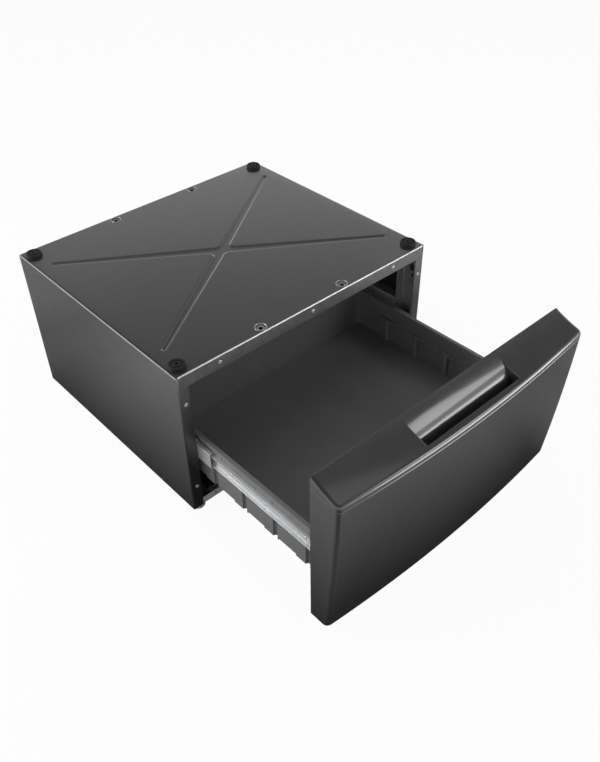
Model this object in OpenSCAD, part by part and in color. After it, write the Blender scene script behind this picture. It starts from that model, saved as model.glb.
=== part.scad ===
// Laundry pedestal: a steel stand for a front loader, with one full-width storage drawer.
// The drawer stands part-way out on telescopic ball slides.
// X runs across the front, Y runs to the back and Z is up. The origin is on the floor,
// under the middle of the stand with its drawer out.

/* [Cabinet] */
// Width across the side panels
cabinet_w = 686; // [600:1:760]
// Depth from the front flanges to the back
cabinet_d = 598; // [540:1:700]
// Height from the lower edge of the side panels to the deck
cabinet_h = 358; // [320:1:450]
// Height of that lower edge above the floor
foot_drop = 25; // [22:0.5:34]
// Thickness of the painted sheet
sheet_t = 1; // [0.8:0.1:1.5]
// Outside radius of the sheet bends
bend_r = 3; // [2:0.5:5]
// Width of the side panels' front flanges
side_flange_w = 25; // [20:0.5:32]
// Height of the deck's front flange
deck_flange_h = 30; // [24:1:36]
// Set-in of the deck sheet from the side panels
deck_inset = 5; // [3:0.5:8]
// Width of the side panels' top and bottom flanges
edge_flange_w = 12; // [10:0.5:16]

/* [Deck] */
// Width of the pressed cross at its middle
cross_w = 19; // [16:0.5:30]
// Width of the pressed cross at its ends
cross_end_w = 8; // [6:0.5:14]
// Depth of the pressed cross
cross_depth = 3; // [2:0.5:5]
// Distance of the cross's ends from the sides
cross_end_x = 35; // [30:1:70]
// Distance of the cross's ends from the front and back
cross_end_y = 88; // [70:1:120]
// Distance between the two tie-down holes of a row
tie_spacing_x = 224; // [160:1:280]
// Shift of the front row of tie-down holes to the left, and of the back row to the right
tie_shift = 14; // [0:0.5:20]
// Distance of the tie-down holes from the front and back
tie_end_y = 16; // [14:0.5:22]
// Radius of the tie-down holes
tie_r = 5; // [3:0.1:5.5]
// Outer radius of the dimples around the tie-down holes
dimple_r = 12; // [9:0.5:13]
// Depth of those dimples
dimple_depth = 3; // [1.5:0.1:4]
// Radius of the rubber pads
pad_r = 18; // [14:0.5:21]
// Height of the rubber pads
pad_h = 8; // [5:0.5:12]
// Distance of the pads' centres from the sides
pad_inset_x = 24; // [24:0.5:30]
// Distance of the pads' centres from the front and back
pad_inset_y = 28; // [24:0.5:40]

/* [Frame] */
// Thickness of the galvanised frame sections
frame_t = 2; // [1.5:0.1:2.5]
// Outside radius of the frame sections' bends
frame_bend_r = 3.5; // [3:0.1:5]
// Width of the corner posts along the cabinet's depth
post_w = 51; // [44:1:60]
// Height of the base rails
rail_h = 17; // [12:1:24]
// Width of the base rails' feet
rail_foot_w = 27; // [24:1:32]
// Height of the slide brackets
bracket_h = 75; // [56:1:90]
// Thickness of the corner plates
corner_plate_t = 3; // [2:0.5:4]
// Width of the corner plates
corner_plate_w = 52; // [48:1:56]

/* [Feet] */
// Radius of the feet
foot_r = 16; // [14:0.5:20]
// Height of a foot's base
foot_base_h = 10; // [8:0.5:12]
// Height of the hexagon above it
foot_hex_h = 6; // [4:0.5:7]
// Radius of a foot's threaded stem
stem_r = 5; // [4:0.1:5]
// Length of a stem above the hexagon
stem_len = 44; // [38:1:55]
// Running clearance of a stem in its nuts
stem_clear = 0.05; // [0.02:0.01:0.1]
// Distance of the feet's centres from the outside faces
foot_inset = 27; // [26:0.5:31]

/* [Drawer] */
// How far the drawer stands open
drawer_open = 348; // [60:1:400]
// Full travel of the drawer
drawer_travel = 420; // [400:1:440]
// Gap between the cabinet and the closed drawer's front
closed_gap = 3; // [3:0.5:6]
// Clear space behind the closed drawer
drawer_back_gap = 91; // [70:1:110]
// Height of the tray's lower edge above the panels' lower edge
tray_z = 80; // [70:1:95]
// Height of the tray
tray_h = 106; // [96:1:130]
// Thickness of the tray's walls
tray_t = 2.5; // [2:0.1:3.5]
// Width of the tray's thick rim
rim_w = 8; // [6:0.5:12]
// Height of the tray's thick rim
rim_h = 12; // [8:0.5:14]
// Radius of the tray's upright corners
tray_r = 14; // [10:0.5:20]
// Radius of the upright flutes in the tray's sides
flute_r = 6; // [4:0.5:7]
// Distance between the flutes
flute_pitch = 91; // [70:1:110]
// Distance from the drawer front to the first flute
flute_start = 41; // [34:1:50]
// Depth of the feet under the tray's sides
tray_foot_h = 4.5; // [2:0.5:6]
// Length of the feet under the tray's sides
tray_foot_len = 33; // [20:1:45]
// Distance between the nicks along the rim
nick_pitch = 50; // [30:1:70]
// Length of the raised pads inside the tray
tray_pad_len = 56; // [30:1:60]

/* [Drawer front] */
// Width of the drawer front
front_w = 673; // [590:1:680]
// Height of the painted shell's back up to the cap's seam
front_h = 345; // [310:1:380]
// Depth of the shell at the middle of its lower edge
front_depth = 59.5; // [52:0.5:75]
// How much further out the shell's upper edge is
front_lean = 23; // [14:0.5:28]
// Bulge of the face from bottom to top
front_belly = 3.2; // [1:0.1:5]
// Bulge of the face from side to side
front_bow = 17; // [10:0.5:22]
// Radius of the face's upright edges
front_edge_r = 12; // [10.5:0.5:16]
// Thickness of the shell's sheet
front_t = 1.2; // [0.8:0.1:2]
// Width of the shell's turned-in upper edge
front_lip_w = 9; // [8:0.5:10]

/* [Cap and pull] */
// Height of the shadow gap under the cap
seam_h = 1.5; // [1:0.1:3]
// Depth of the shadow gap
seam_depth = 2; // [1.5:0.1:2.5]
// Slope of the seam and the cap towards the front, in degrees
cap_tilt = 10; // [0:0.5:12]
// Height of the cap's front edge above the seam
cap_edge_h = 10; // [9.5:0.1:14]
// How much higher above the seam the cap's back edge is
cap_rise = 13.5; // [8:0.5:22]
// Depth over which the cap's top curves down to its front edge
cap_run = 78; // [60:0.5:80]
// Rounding of the cap's front edge
cap_edge_r = 9; // [5:0.5:9]
// Thickness of the cap's walls
cap_t = 3; // [2:0.1:3.5]
// Width of the pull pocket
pull_w = 260; // [160:1:300]
// Distance from the drawer front's back to the pocket's rolled edge
pull_back = 19; // [16:0.5:22]
// Distance from the drawer front's back to the pocket's front wall
pull_front = 66; // [60:0.5:67]
// Radius of the pocket's rolled edge
pull_roll_r = 24; // [16:0.5:28]
// Slope of the pocket's back wall
pull_slope = 53; // [48:1:60]
// Depth of the pocket at its front wall
pull_depth = 26.5; // [20:0.5:30]

/* [Slides] */
// Total thickness of a slide
slide_t = 12.7; // [12.7:0.1:14]
// Gap between a slide and the front flange's edge
slide_gap = 0.5; // [0.3:0.1:2]
// Height of the slides' centre line above the tray's lower edge
slide_rise = 74; // [60:1:76]
// Thickness of the slide members
slide_sheet_t = 1.2; // [1:0.1:1.2]
// Height of the drawer member
inner_h = 28; // [24:0.5:30]
// Space for the balls between two members
race_h = 3.8; // [3.4:0.1:4.2]
// Radius of the balls
ball_r = 1.6; // [1.3:0.05:1.65]
// Distance of the middle member's end behind the closed front
middle_set_back = 134; // [125:1:150]
// Clear space behind the middle member
middle_back_gap = 34; // [28:1:50]
// Clear space behind the cabinet member
outer_back_gap = 24; // [20:1:30]
// Balls in a row between the drawer member and the middle member
inner_balls = 5; // [3:1:7]
// Balls in a row between the middle member and the cabinet member
outer_balls = 8; // [4:1:10]

/* [Screws] */
// Radius of the screw heads
head_r = 4; // [3:0.1:4.5]
// Height of the screw heads
head_h = 2; // [1.4:0.1:2.2]
// Radius of the screw shanks
shank_r = 1.8; // [1.4:0.1:2.2]
// Clearance around the shanks
shank_clear = 0.15; // [0.1:0.05:0.4]
// Distance of the deck flange's outer screws from the middle
deck_screw_x = 241; // [180:1:260]
// Height of the upper post screws above the panels' lower edge
post_screw_high = 287; // [250:1:300]
// Height of the lower post screws above the panels' lower edge
post_screw_low = 63; // [40:1:90]

/* [Hidden] */

$fn = 48;
fine = 1440;         // facets of the very large circles
tiny = 0.01;         // overlap of cutters past a face
far = 1000;          // length of cutters that run out of the part
LEFT = -1;
RIGHT = 1;
FRONT = 0;
BACK = 1;

steel = [0.30, 0.30, 0.31];
zinc = [0.78, 0.79, 0.80];
galvanised = [0.62, 0.63, 0.64];
black = [0.07, 0.07, 0.07];
plastic = [0.20, 0.20, 0.21];

half_w = cabinet_w / 2;
wall_x = half_w - sheet_t;
opening_x = half_w - side_flange_w;
deck_under = cabinet_h - sheet_t;
front_set = drawer_open + closed_gap;
cap_base = front_h + seam_h;
cap_low = cap_base + cap_edge_h;
cap_high = cap_low + cap_rise;
half_front = front_w / 2;
bow_r = (half_front * half_front + front_bow * front_bow) / (2 * front_bow);

// Axis and radius of the face's belly, as distances in front of the back face and heights
face_len = norm([front_h, front_lean]);
belly_r = (face_len * face_len / 4 + front_belly * front_belly) / (2 * front_belly);
belly_d = front_depth + front_lean / 2 - (belly_r - front_belly) * front_h / face_len;
belly_z = front_h / 2 + (belly_r - front_belly) * front_lean / face_len;

// Depth of the face at its middle, at a height above the shell's lower edge
function reach(z) = belly_d + sqrt(belly_r * belly_r - pow(z - belly_z, 2));

// Height of a level that falls to the front with the seam, at a distance from the back face
function sloped(z, d) = z - d * tan(cap_tilt);

// Height and distance, along the slope, at which the rounding of the cap's front edge ends
round_proud = 0.3;    // how far the edge rounding stands past the faces it joins
tip = cap_edge_r - round_proud;
edge_z = sloped(cap_low, reach(cap_low)) - tip / cos(cap_tilt);
edge_s = (reach(edge_z) + tip * sin(cap_tilt)) / cos(cap_tilt);

front_extent = reach(min(belly_z, edge_z));
mid_y = (cabinet_d + head_h - front_set - front_extent) / 2;

// Slide sections, as distances from the tray's side and from the slide's centre line
outer_face = opening_x - slide_gap;
tray_x = outer_face - slide_t;
slide_z = tray_z + slide_rise;
play = 0.4;
cage_t = 0.5;
outer_web = slide_t - slide_sheet_t;
outer_cage_u = outer_web - play - cage_t;
middle_web = outer_cage_u - play - slide_sheet_t;
inner_cage_u = middle_web - play - cage_t;
inner_reach = inner_cage_u - play;
inner_v = inner_h / 2;
middle_v = inner_v + race_h + slide_sheet_t;
outer_v = middle_v + race_h + slide_sheet_t;
leg_setback = 2;

tray_len = cabinet_d + closed_gap - drawer_back_gap;
member_start = 5;
member_end = tray_len - 6;
outer_start = 4;
outer_end = cabinet_d - outer_back_gap;
middle_end = cabinet_d - middle_back_gap;
cage_margin = 3;
inner_cage_start = middle_set_back + drawer_travel / 4 + cage_margin;
inner_cage_end = member_end - closed_gap - drawer_travel / 4 - cage_margin;
outer_cage_start = middle_set_back + cage_margin;
outer_cage_end = middle_end - drawer_travel / 4 - cage_margin;

foot_x = half_w - foot_inset;
hex_top = foot_base_h + foot_hex_h - foot_drop;
nut_r = 9;
nut_h = 7;
nut_gap = 0.6;
lock_nut_h = sheet_t - hex_top - nut_gap;
plate_z = sheet_t + frame_t;
post_x = outer_face;
bracket_low = slide_z - outer_v - 5;

// Turns the model's own layout into the stand's frame
module in_frame() {
    translate([0, -mid_y, foot_drop]) children();
}

// Places what is drawn for the right-hand side on either side
module on_side(side) {
    if (side == RIGHT) children();
    else mirror([1, 0, 0]) children();
}

// Places what is drawn for the front at either end of the cabinet
module at_end(end) {
    if (end == FRONT) children();
    else translate([0, cabinet_d, 0]) mirror([0, 1, 0]) children();
}

// Moves a piece back by its share of the drawer's opening
module pulled_out(share) {
    translate([0, -drawer_open * share, 0]) children();
}

// Extrudes an outline drawn in X and Z along Y
module run_y(from, to) {
    translate([0, to, 0]) rotate([90, 0, 0]) linear_extrude(to - from) children();
}

// Extrudes an outline drawn in Y and Z along X
module run_x(from, to) {
    translate([from, 0, 0]) rotate([90, 0, 90]) linear_extrude(to - from) children();
}

module block(low, high) {
    translate(low) cube(high - low);
}

module rounded_square(low, high, r) {
    translate([low[0] + r, low[1]]) square([high[0] - low[0] - 2 * r, high[1] - low[1]]);
    translate([low[0], low[1] + r]) square([high[0] - low[0], high[1] - low[1] - 2 * r]);
    for (x = [low[0] + r, high[0] - r], y = [low[1] + r, high[1] - r])
        translate([x, y]) circle(r);
}

// Outline of a channel with its web on the left and its legs to the right
module channel(depth, height, t) {
    difference() {
        translate([0, -height / 2]) square([depth, height]);
        translate([t, t - height / 2]) square([depth, height - 2 * t]);
    }
}

// The same with its corners bent to an outside radius
module bent_channel(depth, height, t, r) {
    difference() {
        rounded_square([0, -height / 2], [depth + 2 * r, height / 2], r);
        rounded_square([t, t - height / 2], [depth + 4 * r, height / 2 - t], r - t);
        translate([depth, -height]) square([6 * r, 2 * height]);
    }
}

// Outline of a slot with round ends
module slot_shape(length, width) {
    square([length - width, width], center = true);
    for (x = [-1, 1]) translate([x * (length - width) / 2, 0]) circle(d = width);
}

// ---- Screws ----

// Pan-head screw: the head stands on z = 0 and the shank runs down
module screw(length) {
    cylinder(r = head_r, h = head_h);
    translate([0, 0, -length]) cylinder(r = shank_r, h = length);
}

module screw_hole(length) {
    translate([0, 0, -length]) cylinder(r = shank_r + shank_clear, h = length + tiny);
}

flange_screw_z = cabinet_h - deck_flange_h / 2;
flange_screw_x = half_w - side_flange_w * 0.6;
screw_grip = sheet_t + frame_t + 3;

// Places its child at each screw of the cabinet's front, head outwards
module at_front_screws() {
    for (x = [-deck_screw_x, 0, deck_screw_x])
        translate([x, 0, flange_screw_z]) rotate([90, 0, 0]) children();
    for (x = [-flange_screw_x, flange_screw_x], z = [post_screw_low, post_screw_high])
        translate([x, 0, z]) rotate([90, 0, 0]) children();
}

// ---- Deck ----

// Outline of the cross, moved out by grow: four arms that narrow towards their rounded ends
module cross_shape(grow) {
    span_x = cabinet_w - 2 * cross_end_x;
    span_y = cabinet_d - 2 * cross_end_y;
    angle = atan2(span_y, span_x);
    end_mid = (norm([span_x, span_y]) - cross_end_w) / 2;
    taper = asin((cross_w - cross_end_w) / 2 / end_mid);
    end_r = cross_end_w / 2 + grow;
    arms = [angle, 180 - angle, 180 + angle, 360 - angle, 360 + angle];
    translate([0, cabinet_d / 2]) polygon([for (i = [0:3], step = [0:7])
        let (arm = arms[i], gap = arms[i + 1] - arm,
            a = arm - 90 + taper + step * (90 - taper) / 3,
            inner = (cross_w / 2 + grow) / sin(gap / 2 + taper))
        step < 7 ? end_mid * [cos(arm), sin(arm)] + end_r * [cos(a), sin(a)]
            : inner * [cos(arm + gap / 2), sin(arm + gap / 2)]]);
}

// Places its child at each tie-down hole
module at_ties() {
    for (x = [-1, 1], end = [-1, 1])
        translate([x * tie_spacing_x / 2 + end * tie_shift,
            cabinet_d / 2 + end * (cabinet_d / 2 - tie_end_y), cabinet_h]) children();
}

// Places its child at one rubber pad's centre on the deck
module at_pad(side, end) {
    x = side * (half_w - pad_inset_x);
    y = end == FRONT ? pad_inset_y : cabinet_d - pad_inset_y;
    translate([x, y, cabinet_h]) children();
}

pad_stem_r = 4;
pad_stem_len = 5;

module deck() {
    x = half_w - deck_inset;
    low = cabinet_h - deck_flange_h;
    in_frame() color(steel) difference() {
        union() {
            difference() {
                run_x(-x, x) difference() {
                    rounded_square([0, low - bend_r], [cabinet_d, cabinet_h], bend_r);
                    rounded_square([sheet_t, low - far], [cabinet_d - sheet_t, deck_under],
                        bend_r - sheet_t);
                    translate([-tiny, low - far]) square([cabinet_d + 1, far]);
                }
                translate([0, 0, deck_under - far / 2]) linear_extrude(far) cross_shape(0);
                at_ties() cylinder(r = dimple_r, h = far, center = true);
            }
            // the pressed cross
            translate([0, 0, deck_under - cross_depth]) difference() {
                linear_extrude(cross_depth + sheet_t) cross_shape(sheet_t);
                translate([0, 0, sheet_t]) linear_extrude(far) cross_shape(0);
            }
            // the dimples
            at_ties() translate([0, 0, -dimple_depth - sheet_t]) difference() {
                cylinder(r1 = tie_r + 2 + sheet_t, r2 = dimple_r + sheet_t, h = dimple_depth + sheet_t);
                translate([0, 0, sheet_t])
                    cylinder(r1 = tie_r + 2, r2 = dimple_r, h = dimple_depth + tiny);
            }
        }
        at_ties() cylinder(r = tie_r, h = far, center = true);
        for (side = [LEFT, RIGHT], end = [FRONT, BACK])
            at_pad(side, end) cylinder(r = pad_stem_r + shank_clear, h = far, center = true);
        at_front_screws() screw_hole(screw_grip);
        at_end(BACK) at_front_screws() screw_hole(screw_grip);
    }
}

module pad(side, end) {
    groove_r = pad_r * 0.62;
    in_frame() color(black) at_pad(side, end) {
        difference() {
            cylinder(r1 = pad_r, r2 = pad_r - 1, h = pad_h);
            translate([0, 0, pad_h - 1.5]) difference() {
                cylinder(r = groove_r, h = 2);
                translate([0, 0, -tiny]) cylinder(r = groove_r - 3, h = 3);
            }
            translate([0, 0, pad_h - 3]) cylinder(r = 3.5, h = 4);
        }
        translate([0, 0, -pad_stem_len]) cylinder(r = pad_stem_r, h = pad_stem_len + tiny);
    }
}

// ---- Side and back panels ----

flange_top = cabinet_h - deck_flange_h - 0.5;
corner_r = 8;

// Plan of a side panel's web with its front and back flanges
module side_plan() {
    difference() {
        rounded_square([half_w - 2 * side_flange_w, 0], [half_w, cabinet_d], bend_r);
        rounded_square([half_w - far, sheet_t], [wall_x, cabinet_d - sheet_t], bend_r - sheet_t);
        translate([-far + opening_x, -tiny]) square([far, cabinet_d + 1]);
    }
}

module side_panel(side) {
    in_frame() color(steel) on_side(side) difference() {
        union() {
            linear_extrude(flange_top) side_plan();
            linear_extrude(deck_under) intersection() {
                side_plan();
                translate([half_w - bend_r, 0]) square([bend_r, cabinet_d]);
            }
            for (z = [0, deck_under - sheet_t])
                block([half_w - edge_flange_w, bend_r, z],
                    [wall_x + tiny, cabinet_d - bend_r, z + sheet_t]);
        }
        // rounded lower corners of the front and back flanges
        for (end = [FRONT, BACK]) at_end(end) run_y(-1, sheet_t) difference() {
            translate([opening_x - 1, -1]) square(corner_r + 1);
            translate([opening_x + corner_r, corner_r]) circle(corner_r);
            translate([opening_x + corner_r, -2]) square(corner_r);
        }
        at_pad(RIGHT, FRONT) cylinder(r = pad_stem_r + 1, h = far, center = true);
        at_pad(RIGHT, BACK) cylinder(r = pad_stem_r + 1, h = far, center = true);
        at_front_screws() screw_hole(screw_grip);
        at_end(BACK) at_front_screws() screw_hole(screw_grip);
    }
}

bead_w = 20;

// Closed back: a sheet inside the back flanges, stiffened by two pressed beads
module back_panel() {
    x = wall_x - bend_r;
    y = cabinet_d - 2 * sheet_t;
    bead_len = cabinet_w - 2 * 90;
    in_frame() color(steel) difference() {
        union() {
            block([-x, y, sheet_t], [x, y + sheet_t, deck_under - bend_r]);
            for (z = [cabinet_h / 3, cabinet_h * 2 / 3])
                translate([0, y + sheet_t, z]) rotate([90, 0, 0])
                    linear_extrude(2 * sheet_t) slot_shape(bead_len, bead_w);
        }
        for (z = [cabinet_h / 3, cabinet_h * 2 / 3])
            translate([0, y + sheet_t + tiny, z]) rotate([90, 0, 0])
                linear_extrude(sheet_t + tiny) slot_shape(bead_len - 2 * sheet_t, bead_w - 2 * sheet_t);
        at_end(BACK) at_front_screws() screw_hole(screw_grip);
    }
}

// ---- Frame ----

// Distance of the frame from the cabinet's front or back face
function frame_y(end) = end == FRONT ? sheet_t : 2 * sheet_t;

// Angle behind the deck's front or back flange
module deck_rail(end) {
    y = frame_y(end);
    low = cabinet_h - deck_flange_h + 1;
    in_frame() color(galvanised) at_end(end) difference() {
        union() {
            block([-post_x + 0.2, y, low], [post_x - 0.2, y + frame_t, deck_under - bend_r]);
            block([-post_x + 0.2, y, low], [post_x - 0.2, y + rail_foot_w, low + frame_t]);
        }
        at_front_screws() screw_hole(screw_grip);
    }
}

post_slot = [18, 17];
post_hole_r = 4.5;

// Upright channel in a corner: web on the side panel, legs towards the drawer
module post(side, end) {
    y = frame_y(end);
    depth = wall_x - post_x;
    base = plate_z + corner_plate_t;
    in_frame() color(galvanised) on_side(side) at_end(end) difference() {
        translate([wall_x, y + post_w / 2, base]) linear_extrude(deck_under - bend_r - base)
            mirror([1, 0]) bent_channel(depth, post_w, frame_t, frame_bend_r);
        // a keyhole row in the web: one slot with a round hole under it
        translate([wall_x, y + post_w / 2 - 2, post_screw_high]) block(
            [-depth / 2, -post_slot[0] / 2, -post_slot[1] / 2],
            [1, post_slot[0] / 2, post_slot[1] / 2]);
        translate([wall_x, y + post_w / 2 - 2, post_screw_high - 21]) rotate([0, 90, 0])
            cylinder(r = post_hole_r, h = depth, center = true);
        at_front_screws() screw_hole(screw_grip);
    }
}

module at_feet() {
    for (side = [LEFT, RIGHT], end = [FRONT, BACK])
        on_side(side) at_end(end) translate([foot_x, foot_inset, 0]) children();
}

stem_hole_r = stem_r + 0.5;

// Angle along the base's front or back
module base_rail_cross(end) {
    y = frame_y(end);
    x = half_w - rail_foot_w - 2 * sheet_t;
    reach_x = post_x - 0.2;
    in_frame() color(galvanised) difference() {
        at_end(end) {
            block([-reach_x, y, sheet_t], [reach_x, y + frame_t, sheet_t + rail_h]);
            block([-x, y, sheet_t], [x, y + rail_foot_w, plate_z]);
        }
        at_feet() cylinder(r = stem_hole_r, h = far, center = true);
        for (side = [LEFT, RIGHT], hole = [0:2])
            translate([side * (x - 30 - hole * 120), 0, sheet_t + rail_h * 0.55]) rotate([90, 0, 0])
                cylinder(r = 3, h = 4 * far, center = true);
    }
}

// Angle along one side of the base
module base_rail_side(side) {
    inner = half_w - rail_foot_w;
    in_frame() color(galvanised) on_side(side) difference() {
        union() {
            block([inner + 2, frame_y(BACK) + frame_t, sheet_t],
                [wall_x, cabinet_d - frame_y(BACK) - frame_t, plate_z]);
            block([wall_x - frame_t, corner_plate_w + 4, sheet_t],
                [wall_x, cabinet_d - corner_plate_w - 4, sheet_t + rail_h]);
        }
        at_feet() cylinder(r = stem_hole_r, h = far, center = true);
    }
}

module corner_plates() {
    in_frame() color(galvanised) for (side = [LEFT, RIGHT], end = [FRONT, BACK])
        on_side(side) at_end(end) difference() {
            block([wall_x - corner_plate_w, frame_y(end) + frame_t, plate_z],
                [wall_x, frame_y(end) + frame_t + corner_plate_w, plate_z + corner_plate_t]);
            translate([foot_x, foot_inset, 0]) cylinder(r = stem_hole_r, h = far, center = true);
        }
}

module hex_nut(height) {
    difference() {
        cylinder(r = nut_r, h = height, $fn = 6);
        translate([0, 0, -tiny]) cylinder(r = stem_r + stem_clear, h = height + 2 * tiny);
    }
}

// Welded nuts on the corner plates
module foot_nuts() {
    in_frame() color(zinc) at_feet()
        translate([0, 0, plate_z + corner_plate_t]) hex_nut(nut_h);
}

// Lock nuts under the base rails
module lock_nuts() {
    in_frame() color(zinc) at_feet()
        translate([0, 0, hex_top + nut_gap]) hex_nut(lock_nut_h);
}

module foot(side, end) {
    in_frame() color(zinc) on_side(side) at_end(end) translate([foot_x, foot_inset, -foot_drop]) {
        cylinder(r1 = foot_r - 2, r2 = foot_r, h = 2);
        translate([0, 0, 2]) cylinder(r = foot_r, h = foot_base_h - 5);
        translate([0, 0, foot_base_h - 3]) cylinder(r1 = foot_r, r2 = foot_r - 5, h = 3);
        translate([0, 0, foot_base_h]) cylinder(r = 11, h = foot_hex_h, $fn = 6);
        translate([0, 0, foot_base_h + foot_hex_h - tiny]) cylinder(r = stem_r, h = stem_len);
    }
}

module cabinet_screws() {
    in_frame() color(zinc) {
        at_front_screws() screw(screw_grip);
        at_end(BACK) at_front_screws() screw(screw_grip);
    }
}

// ---- Slides ----

// Channel on the side panel that carries a slide, between the front and back posts
module slide_bracket(side) {
    from = frame_y(FRONT) + post_w;
    to = cabinet_d - frame_y(BACK) - post_w;
    in_frame() color(galvanised) on_side(side) run_y(from, to)
        translate([outer_face, bracket_low + bracket_h / 2])
            bent_channel(wall_x - outer_face, bracket_h, frame_t, frame_bend_r);
}

// Outline of one member: its web stands at u and its legs reach back to leg_end
module member_shape(u, leg_end, v) {
    difference() {
        translate([tray_x + leg_end, -v]) square([u + slide_sheet_t - leg_end, 2 * v]);
        translate([tray_x + leg_end - 1, -v + slide_sheet_t])
            square([u + 1 - leg_end, 2 * (v - slide_sheet_t)]);
    }
}

module cabinet_member(side) {
    in_frame() color(zinc) on_side(side) run_y(outer_start, outer_end)
        translate([0, slide_z]) member_shape(outer_web, leg_setback, outer_v);
}

module middle_member(side) {
    in_frame() color(zinc) on_side(side) pulled_out(1 / 2) run_y(middle_set_back, middle_end)
        translate([0, slide_z]) member_shape(middle_web, leg_setback, middle_v);
}

// The drawer member's web lies on the tray and its legs point outwards
module drawer_member(side) {
    in_frame() color(zinc) on_side(side) at_drawer() difference() {
        run_y(member_start, member_end)
            translate([tray_x, slide_z]) channel(inner_reach, inner_h, slide_sheet_t);
        at_runner_screws() screw_hole(screw_grip);
    }
}

// Outline of a ball cage: a thin web with a strip through each race
module cage_shape(u, v) {
    reach = 6;
    translate([tray_x + u, -v - cage_t / 2]) square([cage_t, 2 * v + cage_t]);
    for (row = [-1, 1])
        translate([tray_x + u - reach, row * v - cage_t / 2]) square([reach + tiny, cage_t]);
}

inner_race_v = inner_v + race_h / 2;
outer_race_v = middle_v + race_h / 2;
ball_set = 3;         // distance of the balls from their cage's web
end_space = 8;        // distance of the first and last ball from the cage's ends

// Places its child at each ball of one cage
module at_balls(from, to, count, u, v) {
    step = (to - from - 2 * end_space) / (count - 1);
    for (ball = [0 : count - 1], row = [-1, 1])
        translate([tray_x + u - ball_set, from + end_space + ball * step, slide_z + row * v]) children();
}

module cage(from, to, count, u, v) {
    difference() {
        run_y(from, to) translate([0, slide_z]) cage_shape(u, v);
        at_balls(from, to, count, u, v) cylinder(r = ball_r + 0.2, h = race_h, center = true);
    }
}

module outer_cage(side) {
    in_frame() color(zinc) on_side(side) pulled_out(1 / 4)
        cage(outer_cage_start, outer_cage_end, outer_balls, outer_cage_u, outer_race_v);
}

module inner_cage(side) {
    in_frame() color(zinc) on_side(side) pulled_out(3 / 4)
        cage(inner_cage_start, inner_cage_end, inner_balls, inner_cage_u, inner_race_v);
}

module outer_ball_set(side) {
    in_frame() color(zinc) on_side(side) pulled_out(1 / 4)
        at_balls(outer_cage_start, outer_cage_end, outer_balls, outer_cage_u, outer_race_v)
            sphere(ball_r);
}

module inner_ball_set(side) {
    in_frame() color(zinc) on_side(side) pulled_out(3 / 4)
        at_balls(inner_cage_start, inner_cage_end, inner_balls, inner_cage_u, inner_race_v)
            sphere(ball_r);
}

// ---- Drawer ----

// Places what is drawn with the drawer front's back face at y = 0
module at_drawer() {
    translate([0, -front_set, 0]) children();
}

// Places its child at each screw of a drawer member, head outwards
module at_runner_screws() {
    for (y = [member_start + 40, tray_len / 2, member_end - 40])
        translate([tray_x + slide_sheet_t, y, slide_z]) rotate([0, 90, 0]) children();
}

tray_top = tray_z + tray_h;

// Places its child at each screw that holds the tray on the drawer front
module at_tray_screws() {
    for (x = [-1, 0, 1], z = [tray_z + 20, tray_top - 30])
        translate([x * (tray_x - 60), tray_t, z]) rotate([-90, 0, 0]) children();
}

flute_count = floor((tray_len - flute_start - 60) / flute_pitch);
flute_top = slide_z - inner_v - 1;

// Places its child at the foot of each upright flute
module at_flutes() {
    for (flute = [0 : flute_count]) translate([tray_x, flute_start + flute * flute_pitch, 0]) children();
}

module tray() {
    inner_x = tray_x - tray_t;
    nick_low = slide_z + inner_v + 1;
    nick_count = floor((tray_len - 30) / nick_pitch);
    in_frame() color(plastic) at_drawer() difference() {
        union() {
            difference() {
                translate([0, 0, tray_z]) linear_extrude(tray_h)
                    rounded_square([-tray_x, 0], [tray_x, tray_len], tray_r);
                translate([0, 0, tray_z + tray_t]) linear_extrude(far)
                    rounded_square([rim_w - tray_x, rim_w], [tray_x - rim_w, tray_len - rim_w],
                        tray_r - rim_w + 3);
                translate([0, 0, tray_z + tray_t]) linear_extrude(tray_h - tray_t - rim_h)
                    rounded_square([-inner_x, tray_t], [inner_x, tray_len - tray_t],
                        tray_r - tray_t);
            }
            for (side = [LEFT, RIGHT]) on_side(side) at_flutes() {
                // the wall behind a flute and the raised pad over it
                translate([-tray_t, 0, tray_z - tray_foot_h]) intersection() {
                    cylinder(r = flute_r + tray_t, h = tray_foot_h + flute_top - tray_z + tray_t);
                    block([-far, -far, 0], [tray_t, far, far]);
                }
                translate([-tray_t + tiny, 0, flute_top + tray_t]) rotate([0, -90, 0]) rotate(90)
                    linear_extrude(flute_r + 1) slot_shape(tray_pad_len, 8);
                block([-tray_t, 0, tray_z - tray_foot_h],
                    [0, tray_foot_len, tray_z + tiny]);
            }
        }
        for (side = [LEFT, RIGHT]) on_side(side) {
            at_flutes() translate([0, 0, tray_z - far])
                cylinder(r = flute_r, h = far + flute_top - tray_z);
            for (nick = [1 : nick_count])
                translate([tray_x, flute_start - 4 + (nick - 0.5) * nick_pitch - nick_pitch / 2, nick_low])
                    rotate([0, -90, 0]) linear_extrude(1.5, center = true)
                        polygon([[-tiny, -1.6], [11, 0], [-tiny, 1.6]]);
            at_runner_screws() screw_hole(screw_grip);
        }
        at_tray_screws() screw_hole(screw_grip);
    }
}

module runner_screws() {
    in_frame() color(zinc) at_drawer() for (side = [LEFT, RIGHT])
        on_side(side) at_runner_screws() screw(screw_grip - 2);
}

module tray_screws() {
    in_frame() color(zinc) at_drawer() at_tray_screws() screw(tray_t + front_t + 1);
}

// ---- Drawer front ----

edge_proud = 0.15;    // how far a round edge stands past the bow, so that they cross cleanly
plan_len = 160;

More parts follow.
